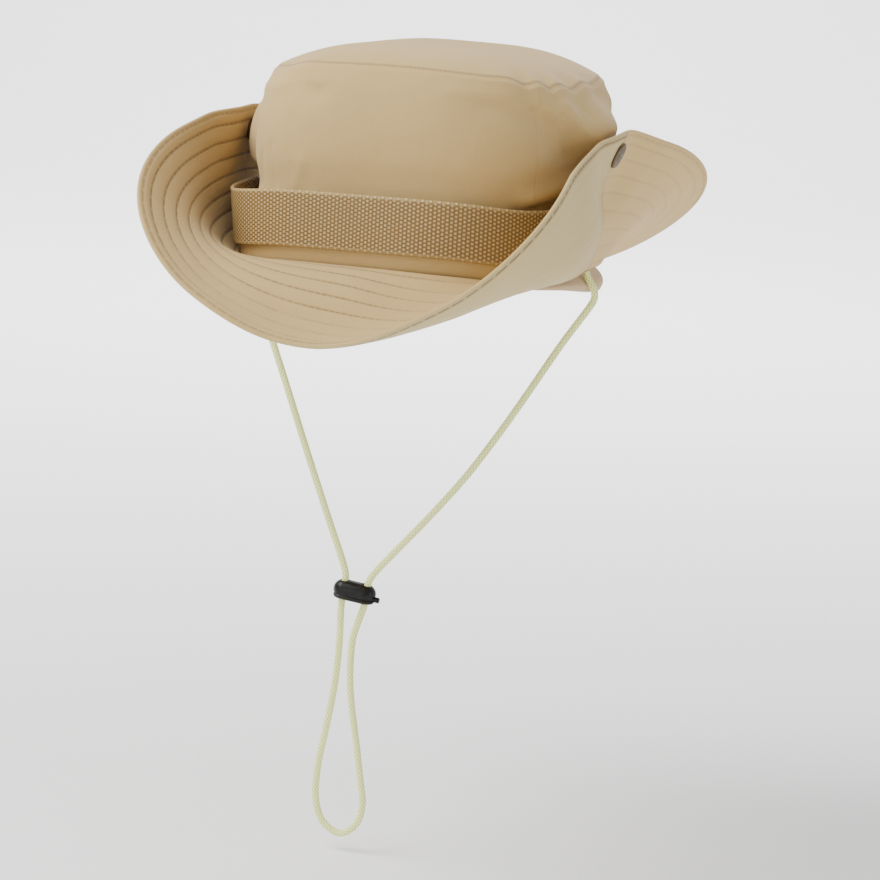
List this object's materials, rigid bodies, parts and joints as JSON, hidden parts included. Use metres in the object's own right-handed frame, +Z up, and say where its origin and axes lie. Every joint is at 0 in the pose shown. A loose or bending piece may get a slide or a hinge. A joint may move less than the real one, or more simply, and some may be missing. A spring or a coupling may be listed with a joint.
{
  "type": "cloth bush hat",
  "caption": "Soft cotton bush hat with a stitched brim snapped up at both sides, a webbing band and a chin cord with a lock.",
  "frame": {"origin": "centre of the head opening, level with the brim's seam at the front", "axes": "+Z up through the crown, -Y toward the front of the hat, +X toward the wearer's left"},
  "size_m": [0.2346, 0.2954, 0.391],
  "materials": {
    "twill": "matte khaki cotton twill",
    "webbing": "glossy basket-weave webbing, olive brown",
    "tape": "matte pinkish tan cotton",
    "bronze": "dark antique bronze, satin",
    "cord": "braided pale yellow-green cord",
    "black_plastic": "moulded black plastic, satin"
  },
  "bodies": {
    "root": {"brim": "twill", "crown_side": "twill", "crown_tip": "twill", "hat_band": "webbing", "sweatband": "tape", "snap_cap_left": "bronze", "snap_cap_right": "bronze", "snap_stud_left": "bronze", "snap_stud_right": "bronze", "chin_cord": "cord", "cord_lock": "black_plastic"}
  },
  "joints": []
}
